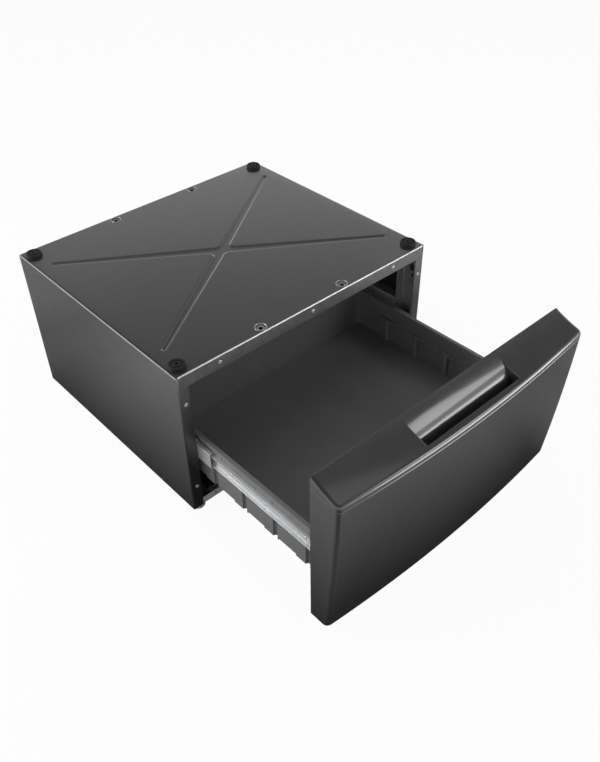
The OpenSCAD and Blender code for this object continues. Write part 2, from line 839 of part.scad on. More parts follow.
// Plan of the drawer front with its middle at the origin and its back towards +Y,
// all faces set in by inset
module front_plan(inset) {
    x = half_front - front_edge_r;
    y = bow_r - sqrt(pow(bow_r - front_edge_r, 2) - x * x) - edge_proud;
    intersection() {
        translate([0, bow_r]) circle(bow_r - inset, $fn = fine);
        union() {
            translate([-x, -front_edge_r]) square([2 * x, plan_len + front_edge_r]);
            translate([inset - half_front, y]) square([front_w - 2 * inset, plan_len - y]);
            for (side = [-1, 1]) translate([side * x, y]) circle(front_edge_r - inset);
        }
    }
}

// The plan swept up along the belly, cut off at a distance from the back, between two heights
// at the back that fall to the front with the seam; a level low end stays at its height
module front_solid(low, high, inset, back, level = false) {
    intersection() {
        translate([0, -belly_d, belly_z]) rotate([0, 90, 0]) rotate([0, 0, 270.5])
            rotate_extrude(angle = 7.5, $fn = fine)
                translate([belly_r, 0]) rotate(90) front_plan(inset);
        run_x(-far, far) polygon([
            [-back, level ? low : sloped(low, back)], [-back, sloped(high, back)],
            [-far, sloped(high, far)], [-far, level ? low : sloped(low, far)]]);
    }
}

// Painted shell: face, ends, underside and a turned-in upper edge; open at the back
module drawer_front() {
    in_frame() color(steel) at_drawer() difference() {
        front_solid(0, front_h, 0, 0, level = true);
        front_solid(front_t, front_h - front_t, front_t, -1, level = true);
        front_solid(front_h - 2 * front_t, front_h + 1, front_lip_w, front_lip_w);
    }
}

// Flat steel cover that closes the drawer front's back
module drawer_front_back() {
    in_frame() color(steel) at_drawer() difference() {
        block([-half_front + front_t + 0.1, -front_t, front_t + 0.1],
            [half_front - front_t - 0.1, 0, sloped(front_h - front_t, front_t) - 0.1]);
        at_tray_screws() screw_hole(screw_grip);
    }
}

// Height of the cap's top at a distance from the drawer front's back
function cap_top(d) = sloped(cap_low, d) + cap_rise * pow(max(1 - d / cap_run, 0), 2);

cap_steps = 10;

// Side view of the cap from a height at the back up, its back and top set in by inset
module cap_side(low, inset) {
    polygon(concat(
        [[-inset, sloped(low, inset)], [-inset, cap_top(inset) - inset]],
        [for (step = [1 : cap_steps]) let (d = cap_run * step / cap_steps)
            [-d, cap_top(d) - inset]],
        [[-far, cap_top(far) - inset], [-far, sloped(low, far)]]));
}

// The cap's solid from a height at the back up, all faces set in by inset
module cap_solid(low, inset) {
    deep = low - cap_low - 1;
    intersection() {
        run_x(inset - half_front, half_front - inset) cap_side(low, inset);
        front_solid(low - 1, cap_high + 1, inset, inset);
        translate([0, 0, cap_low]) rotate([cap_tilt, 0, 0]) translate([0, bow_r - edge_s, 0])
            rotate_extrude($fn = fine) {
                translate([bow_r - plan_len, deep]) square([plan_len - tip, cap_rise + 2 - deep]);
                translate([bow_r - plan_len, deep]) square([2 * plan_len, -tip - deep]);
                translate([bow_r - tip, -tip]) circle(cap_edge_r - inset);
            }
    }
}

pull_floor = sloped(cap_low, pull_front) - pull_depth;
roll_from = 24;
roll_steps = 5;
roll_tail = 8;

// Side view of the pull pocket, all faces set out by wall
module pull_side(wall) {
    r = pull_roll_r - wall;
    centre = [-pull_back + pull_roll_r * sin(roll_from), cap_top(pull_back) - pull_roll_r * cos(roll_from)];
    start = centre + r * [-sin(roll_from), cos(roll_from)];
    end = centre + r * [-sin(pull_slope), cos(pull_slope)];
    drop = end[1] - pull_floor + wall;
    polygon(concat(
        [[start[0] + roll_tail * cos(roll_from), cap_high + 9]],
        [start + roll_tail * [cos(roll_from), sin(roll_from)]],
        [for (step = [0 : roll_steps]) let (turn = roll_from + (pull_slope - roll_from) * step / roll_steps)
            centre + r * [-sin(turn), cos(turn)]],
        [[end[0] - drop / tan(pull_slope), pull_floor - wall],
         [-pull_front - wall, pull_floor - wall], [-pull_front - wall, cap_high + 9]]));
}

// Cap with the finger pocket let into it; a neck under it makes the shadow gap
module front_cap() {
    in_frame() color(steel) at_drawer() difference() {
        union() {
            difference() {
                cap_solid(cap_base, 0);
                cap_solid(cap_base - 1, cap_t);
            }
            intersection() {
                run_x(-pull_w / 2 - cap_t, pull_w / 2 + cap_t) intersection() {
                    pull_side(cap_t);
                    cap_side(pull_floor - 2 * cap_t, 0);
                }
                front_solid(pull_floor - 2 * cap_t, cap_high + 1, 0, 0);
            }
            difference() {
                front_solid(front_h, cap_base + 1, seam_depth, seam_depth);
                front_solid(front_h - 1, cap_base + 2, seam_depth + cap_t, seam_depth + cap_t);
            }
        }
        run_x(-pull_w / 2, pull_w / 2) pull_side(0);
    }
}

deck();
side_panel(LEFT);  // side_panel_left
side_panel(RIGHT);  // side_panel_right
back_panel();
deck_rail(FRONT);  // deck_rail_front
deck_rail(BACK);  // deck_rail_back
post(LEFT, FRONT);  // post_front_left
post(RIGHT, FRONT);  // post_front_right
post(LEFT, BACK);  // post_back_left
post(RIGHT, BACK);  // post_back_right
base_rail_cross(FRONT);  // base_rail_front
base_rail_cross(BACK);  // base_rail_back
base_rail_side(LEFT);  // base_rail_left
base_rail_side(RIGHT);  // base_rail_right
corner_plates();
foot_nuts();
lock_nuts();
cabinet_screws();
pad(LEFT, FRONT);  // pad_front_left
pad(RIGHT, FRONT);  // pad_front_right
pad(LEFT, BACK);  // pad_back_left
pad(RIGHT, BACK);  // pad_back_right
foot(LEFT, FRONT);  // foot_front_left
foot(RIGHT, FRONT);  // foot_front_right
foot(LEFT, BACK);  // foot_back_left
foot(RIGHT, BACK);  // foot_back_right
slide_bracket(LEFT);  // slide_bracket_left
slide_bracket(RIGHT);  // slide_bracket_right
cabinet_member(LEFT);  // cabinet_member_left
cabinet_member(RIGHT);  // cabinet_member_right
middle_member(LEFT);  // middle_member_left
middle_member(RIGHT);  // middle_member_right
drawer_member(LEFT);  // drawer_member_left
drawer_member(RIGHT);  // drawer_member_right
outer_cage(LEFT);  // outer_cage_left
outer_cage(RIGHT);  // outer_cage_right
inner_cage(LEFT);  // inner_cage_left
inner_cage(RIGHT);  // inner_cage_right
outer_ball_set(LEFT);  // outer_balls_left
outer_ball_set(RIGHT);  // outer_balls_right
inner_ball_set(LEFT);  // inner_balls_left
inner_ball_set(RIGHT);  // inner_balls_right
tray();
drawer_front();
drawer_front_back();
front_cap();
runner_screws();
tray_screws();
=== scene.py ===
"""A laundry pedestal with its storage drawer out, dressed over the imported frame."""

from math import asin, atan, atan2, cos, hypot, pi, radians, sin, sqrt, tan

import bmesh
import bpy
from mathutils import Matrix, Vector


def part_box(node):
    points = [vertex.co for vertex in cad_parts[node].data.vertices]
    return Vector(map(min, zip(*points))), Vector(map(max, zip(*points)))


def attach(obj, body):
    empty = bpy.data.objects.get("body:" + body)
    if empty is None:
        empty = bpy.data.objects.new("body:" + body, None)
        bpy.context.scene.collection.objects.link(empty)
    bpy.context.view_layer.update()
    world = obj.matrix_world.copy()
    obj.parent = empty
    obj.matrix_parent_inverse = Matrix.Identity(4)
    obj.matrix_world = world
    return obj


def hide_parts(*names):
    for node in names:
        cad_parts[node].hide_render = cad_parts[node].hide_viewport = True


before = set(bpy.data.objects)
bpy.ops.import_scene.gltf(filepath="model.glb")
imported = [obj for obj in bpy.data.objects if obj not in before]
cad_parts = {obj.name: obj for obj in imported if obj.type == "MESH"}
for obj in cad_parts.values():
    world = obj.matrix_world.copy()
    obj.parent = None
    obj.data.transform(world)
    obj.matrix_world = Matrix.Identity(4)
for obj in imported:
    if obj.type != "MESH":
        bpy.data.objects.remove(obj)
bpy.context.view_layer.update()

# ---------------------------------------------------------------- layout, in mm
# X from the middle, Y back from the cabinet's front, Z up from the panels' lower edge

MM = 0.001
FRONT_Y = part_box("deck")[0][1]
PANEL_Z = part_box("side_panel_left")[0][2]
DRAWER_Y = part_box("drawer_front_back")[1][1]

CABINET_W = 686.0
CABINET_D = 598.0
CABINET_H = 358.0
SHEET = 1.0
BEND_R = 3.0
DECK_HALF = CABINET_W / 2 - 5.0
DECK_FLANGE = 30.0


def in_place(bm, drawer=False):
    """Takes a mesh from the layout to the frame, in metres."""
    bmesh.ops.scale(bm, vec=(MM, MM, MM), verts=bm.verts)
    bmesh.ops.translate(bm, vec=(0, DRAWER_Y if drawer else FRONT_Y, PANEL_Z), verts=bm.verts)


# ---------------------------------------------------------------- materials

# how far in from the outer faces the painted highlight on the bent edges is full, and where it ends
BEND_HIGHLIGHT_FULL, BEND_HIGHLIGHT_ENDS = 1.6, 2.6
# how far in from the front face the painted sheen on the flanges is full, and where it ends
FLANGE_SHEEN_FULL, FLANGE_SHEEN_ENDS = 0.3, 0.9
# heights in metres between which the flanges' painted sheen grows brighter
FLANGE_SHEEN_LOW, FLANGE_SHEEN_HIGH = 0.22, 0.35


def ramp(tree, value, stops):
    """Colours along a value."""
    node = tree.nodes.new("ShaderNodeValToRGB")
    band = node.color_ramp
    while len(band.elements) < len(stops):
        band.elements.new(0.5)
    for element, (place, colour) in zip(band.elements, stops):
        element.position = place
        element.color = (*colour, 1)
    tree.links.new(value, node.inputs["Fac"])
    return node.outputs["Color"]


def maths(tree, operation, one, other=None):
    """A sum on one output, or on two, or on one and a number."""
    node = tree.nodes.new("ShaderNodeMath")
    node.operation = operation
    tree.links.new(one, node.inputs[0])
    if isinstance(other, float):
        node.inputs[1].default_value = other
    elif other:
        tree.links.new(other, node.inputs[1])
    return node.outputs[0]


class Shader:
    """A material's node tree around one Principled BSDF."""

    def __init__(self, name, **sockets):
        self.material = bpy.data.materials.new(name)
        self.material.use_nodes = True
        self.tree = self.material.node_tree
        self.skin = self.tree.nodes["Principled BSDF"]
        for socket, value in sockets.items():
            self.skin.inputs[socket.replace("_", " ")].default_value = value
        coords = self.tree.nodes.new("ShaderNodeTexCoord")
        self.place = coords.outputs["Object"]

    def highlight_masks(self):
        """Two masks of painted light: a painted highlight on the cabinet's bent top and front edges, and a
        painted sheen on the upper part of its front flanges.
        """
        split = self.tree.nodes.new("ShaderNodeSeparateXYZ")
        self.link(self.place, split.inputs[0])
        aside = maths(self.tree, "ABSOLUTE", split.outputs["X"])
        at_side = self.spread(aside, 0.0, 1.0,
                              (CABINET_W / 2 - BEND_HIGHLIGHT_ENDS) * MM, (CABINET_W / 2 - BEND_HIGHLIGHT_FULL) * MM)
        at_front = self.spread(split.outputs["Y"], 1.0, 0.0, FRONT_Y + BEND_HIGHLIGHT_FULL * MM, FRONT_Y + BEND_HIGHLIGHT_ENDS * MM)
        at_top = self.spread(split.outputs["Z"], 0.0, 1.0, PANEL_Z + (CABINET_H - BEND_HIGHLIGHT_ENDS) * MM,
                             PANEL_Z + (CABINET_H - BEND_HIGHLIGHT_FULL) * MM)
        bent = maths(self.tree, "MULTIPLY", maths(self.tree, "MAXIMUM", at_side, at_front), at_top)
        at_face = self.spread(split.outputs["Y"], 1.0, 0.0,
                              FRONT_Y + FLANGE_SHEEN_FULL * MM, FRONT_Y + FLANGE_SHEEN_ENDS * MM)
        upwards = self.spread(split.outputs["Z"], 0.0, 1.0, PANEL_Z + FLANGE_SHEEN_LOW, PANEL_Z + FLANGE_SHEEN_HIGH)
        return bent, maths(self.tree, "MULTIPLY", at_face, upwards)

    def link(self, out, into):
        self.tree.links.new(out, into)

    def stretched(self, scale):
        """Object coordinates scaled unevenly, for drawn or rolled patterns."""
        node = self.tree.nodes.new("ShaderNodeMapping")
        node.inputs["Scale"].default_value = scale
        self.link(self.place, node.inputs["Vector"])
        return node.outputs["Vector"]

    def noise(self, scale, detail=2.0, rough=0.5, coords=None):
        node = self.tree.nodes.new("ShaderNodeTexNoise")
        node.inputs["Scale"].default_value = scale
        node.inputs["Detail"].default_value = detail
        node.inputs["Roughness"].default_value = rough
        self.link(coords or self.place, node.inputs["Vector"])
        return node.outputs["Fac"]

    def voronoi(self, scale, coords=None):
        node = self.tree.nodes.new("ShaderNodeTexVoronoi")
        node.inputs["Scale"].default_value = scale
        self.link(coords or self.place, node.inputs["Vector"])
        return node.outputs["Color"]

    def spread(self, value, low, high, start=0.3, end=0.7):
        """Maps a pattern onto a range."""
        node = self.tree.nodes.new("ShaderNodeMapRange")
        node.inputs["From Min"].default_value = start
        node.inputs["From Max"].default_value = end
        node.inputs["To Min"].default_value = low
        node.inputs["To Max"].default_value = high
        self.link(value, node.inputs["Value"])
        return node.outputs["Result"]

    def ramp(self, value, stops):
        return ramp(self.tree, value, stops)

    def blend(self, one, other, share):
        """Mixes two colours; share is a number or an output."""
        node = self.tree.nodes.new("ShaderNodeMix")
        node.data_type = "RGBA"
        if isinstance(share, float):
            node.inputs["Factor"].default_value = share
        else:
            self.link(share, node.inputs["Factor"])
        self.link(one, node.inputs["A"])
        self.link(other, node.inputs["B"])
        return node.outputs["Result"]

    def colour(self, out):
        self.link(out, self.skin.inputs["Base Color"])

    def roughness(self, out):
        self.link(out, self.skin.inputs["Roughness"])

    def relief(self, height, depth, strength=1.0):
        """Bump of a depth in metres; each further call lies on top of the last."""
        node = self.tree.nodes.new("ShaderNodeBump")
        node.inputs["Strength"].default_value = strength
        node.inputs["Distance"].default_value = depth
        self.link(height, node.inputs["Height"])
        normal = self.skin.inputs["Normal"]
        if normal.links:
            self.link(normal.links[0].from_socket, node.inputs["Normal"])
        self.link(node.outputs["Normal"], normal)


def grey(level, warmth=0.0):
    return (level * (1 + warmth), level, level * (1 - warmth))


def enamel(name, level, rough, coat, painted_sheen=False):
    """Dark metallic enamel: fine flake under a clear coat with a little orange peel."""
    s = Shader(name, Metallic=0.5, Coat_Weight=coat, Coat_Roughness=0.12)
    flake = s.ramp(s.voronoi(2600), [(0.0, grey(level * 0.8)), (1.0, grey(level * 1.25, -0.01))])
    cloud = s.ramp(s.noise(9, 3), [(0.35, grey(level * 0.95)), (0.65, grey(level * 1.05, 0.006))])
    coat_colour = s.blend(flake, cloud, 0.6)
    if painted_sheen:
        # painted highlight: brighter paint over the bent edges; painted sheen: lighter paint towards the top of
        # the front flanges
        bent, face = s.highlight_masks()
        # lighter tone for the flanges' painted sheen
        thin = s.ramp(s.noise(60, 3), [(0.3, grey(0.20)), (0.7, grey(0.26))])
        # brighter tone for the painted highlight on the bent edges
        bend_highlight = s.ramp(s.noise(80, 3), [(0.3, grey(0.50)), (0.7, grey(0.60))])
        coat_colour = s.blend(s.blend(coat_colour, thin, face), bend_highlight, bent)
    s.colour(coat_colour)
    s.roughness(s.spread(s.noise(35, 4), rough - 0.03, rough + 0.03))
    s.relief(s.noise(420, 2), 0.00002, 0.4)
    return s.material


def bright_zinc(name, low, high, rough, metallic):
    """Zinc plate, drawn along the slides."""
    s = Shader(name, Metallic=metallic)
    drawn = s.noise(22, 3, 0.5, s.stretched((10, 0.25, 10)))
    s.colour(s.ramp(drawn, [(0.3, grey(low, -0.015)), (0.7, grey(high, -0.015))]))
    s.roughness(s.spread(s.noise(60, 4), rough - 0.05, rough + 0.05))
    return s.material


def galvanised_steel():
    s = Shader("galvanised_steel", Metallic=0.8)
    spangle = s.ramp(s.voronoi(130), [(0.1, grey(0.40, -0.02)), (0.9, grey(0.56, -0.02))])
    streak = s.ramp(s.noise(18, 4), [(0.35, grey(0.44, -0.01)), (0.65, grey(0.52, -0.01))])
    s.colour(s.blend(spangle, streak, 0.5))
    s.roughness(s.spread(s.noise(45, 3), 0.38, 0.5))
    return s.material


def moulded_tray():
    s = Shader("tray_plastic", Specular_IOR_Level=0.5)
    s.colour(s.ramp(s.noise(14, 4), [(0.3, grey(0.14, 0.01)), (0.7, grey(0.16))]))
    s.roughness(s.spread(s.noise(90, 3), 0.38, 0.5))
    s.relief(s.noise(1500, 2), 0.00005, 0.35)
    return s.material


def black_rubber():
    s = Shader("black_rubber", Specular_IOR_Level=0.25)
    s.colour(s.ramp(s.noise(60, 4), [(0.3, grey(0.006)), (0.7, grey(0.011))]))
    s.roughness(s.spread(s.noise(120, 3), 0.5, 0.65))
    s.relief(s.noise(900, 2), 0.00006, 0.4)
    return s.material


# the cabinet's enamel carries the painted highlight on its bent edges and the painted sheen on its flanges
body_paint_and_sheen = enamel("cabinet_enamel_and_sheen", 0.034, 0.38, 1.0, painted_sheen=True)
front_paint = enamel("front_enamel", 0.045, 0.34, 1.0)
# darker enamel for the neck: painted shade in the seam
seam_shade_paint = enamel("seam_enamel_painted_shade", 0.012, 0.5, 0.1)
zinc = bright_zinc("bright_zinc", 0.60, 0.74, 0.34, 0.6)
rail_steel = bright_zinc("rail_steel", 0.66, 0.78, 0.5, 0.3)
ring_steel = bright_zinc("ring_steel", 0.30, 0.38, 0.3, 0.9)
foot_steel = bright_zinc("foot_steel", 0.42, 0.50, 0.5, 0.3)
galvanised = galvanised_steel()
tray_plastic = moulded_tray()
rubber = black_rubber()

# ---------------------------------------------------------------- mesh helpers


def sheet(bm, rows):
    """A grid bent so that its vertices lie on rows of points."""
    across = len(rows[0])
    grid = bmesh.ops.create_grid(bm, x_segments=across - 1, y_segments=len(rows) - 1, size=1)
    points = [point for row in rows for point in row]
    for vert, point in zip(grid["verts"], points):
        vert.co = point
    return grid["verts"]


def loop(bm, points):
    """A closed ring of edges."""
    verts = [bm.verts.new(point) for point in points]
    return [bm.edges.new((verts[i - 1], verts[i])) for i in range(len(verts))]


def funnel(bm, rings):
    """Joins ring after ring of edges into one wall."""
    for upper, lower in zip(rings, rings[1:]):
        bmesh.ops.bridge_loops(bm, edges=upper + lower)


def circle(centre, radius, z, steps):
    """Points round a level circle."""
    return [(centre[0] + radius * cos(2 * pi * i / steps), centre[1] + radius * sin(2 * pi * i / steps), z)
            for i in range(steps)]


def lathe(bm, profile, steps, centre):
    """Spins a profile of (radius, height) about a vertical axis."""
    verts = [bm.verts.new((centre[0] + r, centre[1], centre[2] + z)) for r, z in profile]
    edges = [bm.edges.new(pair) for pair in zip(verts, verts[1:])]
    bmesh.ops.spin(bm, geom=verts + edges, cent=centre, axis=(0, 0, 1), angle=2 * pi,
                   steps=steps, use_merge=True, use_duplicate=False)


def piece(name, bm, body, materials, outward=None, sharp=32, drawer=False):
    """Turns a mesh in the layout into a finished object that rides on a body."""
    bmesh.ops.remove_doubles(bm, verts=bm.verts, dist=0.01)
    bmesh.ops.recalc_face_normals(bm, faces=bm.faces)
    if outward:
        widest = max(bm.faces, key=lambda face: face.calc_area() * abs(face.normal.dot(Vector(outward))))
        if widest.normal.dot(Vector(outward)) < 0:
            bmesh.ops.reverse_faces(bm, faces=bm.faces)
    in_place(bm, drawer)
    mesh = bpy.data.meshes.new(name)
    bm.to_mesh(mesh)
    bm.free()
    mesh.shade_smooth()
    mesh.set_sharp_from_angle(angle=radians(sharp))
    obj = bpy.data.objects.new(name, mesh)
    bpy.context.scene.collection.objects.link(obj)
    for material in materials:
        mesh.materials.append(material)
    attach(obj, body)
    return obj


def thicken(obj, thickness):
    walls = obj.modifiers.new("wall", "SOLIDIFY")
    walls.thickness = thickness * MM
    walls.offset = -1
    walls.use_even_offset = True


def soften(obj, width):
    edges = obj.modifiers.new("edges", "BEVEL")
    edges.limit_method = "ANGLE"
    edges.angle_limit = radians(40)
    edges.width = width * MM
    edges.segments = 2
    edges.harden_normals = True


def steady_normals(obj):
    obj.modifiers.new("normals", "WEIGHTED_NORMAL").keep_sharp = True


def arc(centre, radius, start, end, steps):
    """Points of an arc, angles in degrees."""
    return [(centre[0] + radius * cos(radians(start + (end - start) * i / steps)),
             centre[1] + radius * sin(radians(start + (end - start) * i / steps)))
            for i in range(steps + 1)]


# ---------------------------------------------------------------- deck

CROSS_HALF = 9.5
CROSS_END_R = 4.0
CROSS_FILLET = 13.0
CROSS_END_X, CROSS_END_Y = 35.0, 88.0
CROSS_SPAN = (CABINET_W - 2 * CROSS_END_X, CABINET_D - 2 * CROSS_END_Y)
CROSS_ARM = hypot(*CROSS_SPAN) / 2 - CROSS_END_R
CROSS_TAPER = asin((CROSS_HALF - CROSS_END_R) / CROSS_ARM)
# how the pressed wall runs: distance outside the nominal edge, and depth
PRESSED_WALL = [(3.4, 0.0), (2.2, -0.14), (1.2, -0.62), (-0.4, -2.2), (-1.5, -2.82), (-2.8, -3.0)]
# the front row of tie-down holes sits a little to the left, the back row to the right
TIE_HALF, TIE_SHIFT, TIE_END_Y = 112.0, 14.0, 16.0
TIES = [(x + shift, y) for x in (-TIE_HALF, TIE_HALF)
        for shift, y in ((-TIE_SHIFT, TIE_END_Y), (TIE_SHIFT, CABINET_D - TIE_END_Y))]
# radius and depth of the dimple round each hole, from its rim to the hole
DIMPLE = [(12.8, 0.0), (12.1, -0.12), (11.3, -0.6), (8.0, -2.5), (7.0, -2.9), (5.0, -3.0)]


def cross_outline(grow, z):
    """Outline of the pressed cross, its edge moved out by grow; the arms narrow outwards."""
    tilt = atan2(CROSS_SPAN[1], CROSS_SPAN[0])
    fillet = CROSS_FILLET - grow
    square = 90 - CROSS_TAPER * 180 / pi
    arms = [-tilt, tilt, pi - tilt, pi + tilt, 2 * pi - tilt]
    flat = []
    for arm, following in zip(arms, arms[1:]):
        turn = arm * 180 / pi
        flat += arc((CROSS_ARM * cos(arm), CROSS_ARM * sin(arm)), CROSS_END_R + grow,
                    turn - square, turn + square, 14)
        gap = following - arm
        far = (CROSS_HALF + grow + fillet) / sin(gap / 2 + CROSS_TAPER)
        middle = arm + gap / 2
        flat += arc((far * cos(middle), far * sin(middle)), fillet,
                    turn + square - 180, following * 180 / pi - square - 180, 8)
    return [(x, CABINET_D / 2 + y, CABINET_H + z) for x, y in flat]


def deck():
    bm = bmesh.new()
    edge_y = (BEND_R, CABINET_D - BEND_R)
    frame_edges = loop(bm, [(x, y, CABINET_H) for x, y in (
        (-DECK_HALF, edge_y[0]), (DECK_HALF, edge_y[0]),
        (DECK_HALF, edge_y[1]), (-DECK_HALF, edge_y[1]))])
    cross = [loop(bm, cross_outline(grow, z)) for grow, z in PRESSED_WALL]
    dimples = []
    for x, y in TIES:
        rings = [loop(bm, circle((x, y), r, CABINET_H + z, 40)) for r, z in DIMPLE]
        dimples.append(rings)
    bmesh.ops.triangle_fill(bm, use_beauty=True, use_dissolve=False, normal=(0, 0, 1),
                            edges=frame_edges + cross[0] + [e for rings in dimples for e in rings[0]])
    funnel(bm, cross)
    bmesh.ops.triangle_fill(bm, use_beauty=True, use_dissolve=False, normal=(0, 0, 1), edges=cross[-1])
    for rings in dimples:
        funnel(bm, rings)
    # flanges along the front and back
    for y, turn in ((edge_y[0], 90), (edge_y[1], -90)):
        edges = [e for e in bm.edges if e.is_valid and all(abs(v.co.y - y) < 0.01 for v in e.verts)
                 and e.calc_length() > 100]
        bent = bmesh.ops.spin(bm, geom=edges, cent=(0, y, CABINET_H - BEND_R), axis=(1, 0, 0),
                              angle=radians(turn), steps=6, use_merge=False, use_duplicate=False)
        last = [e for e in bent["geom_last"] if isinstance(e, bmesh.types.BMEdge)]
        drop = bmesh.ops.extrude_edge_only(bm, edges=last)
        verts = [v for v in drop["geom"] if isinstance(v, bmesh.types.BMVert)]
        bmesh.ops.translate(bm, verts=verts, vec=(0, 0, BEND_R - DECK_FLANGE))
    obj = piece("deck_sheet", bm, "cabinet", [body_paint_and_sheen], outward=(0, 0, 1))
    thicken(obj, SHEET)
    steady_normals(obj)
    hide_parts("deck")


deck()


def tie_rings():
    """A thin bright rim round each dimple and an eyelet in its hole."""
    bm = bmesh.new()
    rim = [(13.1, -0.1), (12.9, 0.35), (12.4, 0.5), (11.9, 0.25), (11.5, -0.5)]
    eyelet = [(8.0, -2.6), (7.6, -2.1), (6.4, -2.2), (5.1, -2.8), (4.9, -6.0), (6.2, -6.0), (6.2, -4.2)]
    for x, y in TIES:
        for profile in (rim, eyelet):
            lathe(bm, profile, 40, (x, y, CABINET_H))
    piece("tie_down_rings", bm, "cabinet", [ring_steel], outward=(0, 0, 1), sharp=50)


tie_rings()

# ---------------------------------------------------------------- drawer front

FRONT_HALF = 336.5
FRONT_H = 345.0
FRONT_DEPTH = 59.5
FRONT_LEAN = 23.0
FRONT_BELLY = 3.2
FRONT_BOW = 17.0
EDGE_R = 12.0
SHELL = 1.2
CAP_TILT = radians(10)
SLOPE = tan(CAP_TILT)
BOW_R = (FRONT_HALF ** 2 + FRONT_BOW ** 2) / (2 * FRONT_BOW)

FACE_LEN = hypot(FRONT_H, FRONT_LEAN)
BELLY_R = (FACE_LEN ** 2 / 4 + FRONT_BELLY ** 2) / (2 * FRONT_BELLY)
BELLY_D = FRONT_DEPTH + FRONT_LEAN / 2 - (BELLY_R - FRONT_BELLY) * FRONT_H / FACE_LEN
BELLY_Z = FRONT_H / 2 + (BELLY_R - FRONT_BELLY) * FRONT_LEAN / FACE_LEN
CORNER_X = FRONT_HALF - EDGE_R
CORNER_BACK = BOW_R - sqrt((BOW_R - EDGE_R) ** 2 - CORNER_X ** 2)
BOW_TURN = asin(CORNER_X / (BOW_R - EDGE_R)) * 180 / pi


def reach(z):
    """Depth of the face at its middle."""
    return BELLY_D + sqrt(BELLY_R ** 2 - (z - BELLY_Z) ** 2)


def setback(x):
    """How far the face lies behind its middle, at a place across."""
    if abs(x) <= CORNER_X:
        return BOW_R - sqrt(BOW_R ** 2 - x * x)
    return CORNER_BACK - sqrt(max(EDGE_R ** 2 - (abs(x) - CORNER_X) ** 2, 0))


def seam(d):
    """Height of the shell's top edge, which falls to the front."""
    return FRONT_H - d * SLOPE


def front_row(level, inset, back=0.0):
    """Plan of the drawer front from its left back round the face to its right back.
    level gives the height at a distance from the back."""
    plan = arc((-CORNER_X, CORNER_BACK), EDGE_R - inset, 180, 270 - BOW_TURN, 9)
    plan += arc((0, BOW_R), BOW_R - inset, 270 - BOW_TURN, 270 + BOW_TURN, 40)[1:-1]
    plan += arc((CORNER_X, CORNER_BACK), EDGE_R - inset, 270 + BOW_TURN, 360, 9)
    row = []
    for x, behind in plan:
        d = reach(FRONT_H) - behind
        for _ in range(3):
            d = reach(level(d)) - behind
        row.append((x, -d, level(d)))
    half = FRONT_HALF - inset
    middle = -row[0][1] / 2
    ends = [[(side * half, -d, level(d)) for d in (back, middle)] for side in (-1, 1)]
    return ends[0] + row + ends[1][::-1]


def drawer_shell():
    bm = bmesh.new()
    low_r, top_r = 3.0, 2.2
    turns = [radians(t) for t in (0, 18, 36, 54, 72, 90)]
    rows = [front_row(lambda d: low_r * (1 - cos(t)), low_r * (1 - sin(t))) for t in turns]
    rows += [front_row(lambda d: low_r + (seam(d) - low_r - top_r) * i / 18, 0) for i in range(1, 18)]
    rows += [front_row(lambda d: seam(d) - top_r * (1 - sin(t)), top_r * (1 - cos(t))) for t in turns]
    rows += [front_row(seam, 9.0)]
    verts = sheet(bm, rows)
    across = len(rows[0])
    bmesh.ops.contextual_create(bm, geom=list(verts)[:across])
    obj = piece("drawer_shell", bm, "drawer", [front_paint], outward=(0, -1, 0),
                drawer=True)
    thicken(obj, SHELL)
    steady_normals(obj)
    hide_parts("drawer_front")


drawer_shell()

SEAM = 1.5
CAP_BASE = FRONT_H + SEAM
CAP_LOW = CAP_BASE + 10.0
CAP_RISE = 13.5
CAP_RUN = 78.0
CAP_EDGE_R = 9.0
CAP_END_R = 7.0
PULL_HALF = 130.0
PULL_BACK = 9.0
PULL_FRONT = 66.0
PULL_LIP = PULL_FRONT + 1.4
PULL_FLOOR = CAP_LOW - PULL_FRONT * SLOPE - 26.5
PULL_STEEP = radians(78)
PULL_END_R = 2.0


def end_drop(x):
    """How much the top is rounded down near the cap's ends."""
    over = max(abs(x) - FRONT_HALF + CAP_END_R, 0)
    return CAP_END_R - sqrt(max(CAP_END_R ** 2 - over ** 2, 0))


def cap_top(d, x=0.0):
    return CAP_LOW - d * SLOPE + CAP_RISE * max(1 - d / CAP_RUN, 0) ** 2 - end_drop(x)


def cap_lean(d):
    """Angle of the top's fall to the front."""
    return atan(SLOPE + 2 * CAP_RISE / CAP_RUN * max(1 - d / CAP_RUN, 0))


def cap_edge(x):
    """The rounded front edge, tangent to the top and the face, and the step back to the neck."""
    d = reach(CAP_LOW) - setback(x) - CAP_EDGE_R
    for _ in range(8):
        lean = cap_lean(d)
        centre_z = cap_top(d, x) - CAP_EDGE_R * cos(lean)
        face_lean = atan(reach(centre_z + 0.5) - reach(centre_z - 0.5))
        touch_z = centre_z - CAP_EDGE_R * sin(face_lean)
        centre_d = reach(touch_z) - setback(x) - CAP_EDGE_R * cos(face_lean)
        d = centre_d + CAP_EDGE_R * sin(lean)
    first, last = lean, pi / 2 + face_lean
    turn = [(centre_d + CAP_EDGE_R * sin(first + (last - first) * i / 9),
             centre_z + CAP_EDGE_R * cos(first + (last - first) * i / 9)) for i in range(10)]
    base = CAP_BASE - turn[-1][0] * SLOPE
    foot = reach(base) - setback(x)
    return turn + [(foot, base + 0.6), (foot - 0.6, base), (foot - 5, base + 5 * SLOPE)]


SIDE_RUN = cap_edge(PULL_HALF)[0][0]
# shares of the cap's top, from the ridge to the start of the rounded front edge
TOP_SHARES = [1.2 / SIDE_RUN, 3 / SIDE_RUN, 5 / SIDE_RUN, 7 / SIDE_RUN, PULL_BACK / SIDE_RUN,
              0.2, 0.27, 0.34, 0.42, 0.5, 0.6, 0.7, 0.8, 0.88, PULL_LIP / SIDE_RUN]
# the share at which the pocket starts
POCKET_FROM = 4
ROLL_STEPS = 18


def cap_shares(x, edge):
    run = edge[0][0]
    return [(run * share, cap_top(run * share, x)) for share in TOP_SHARES]


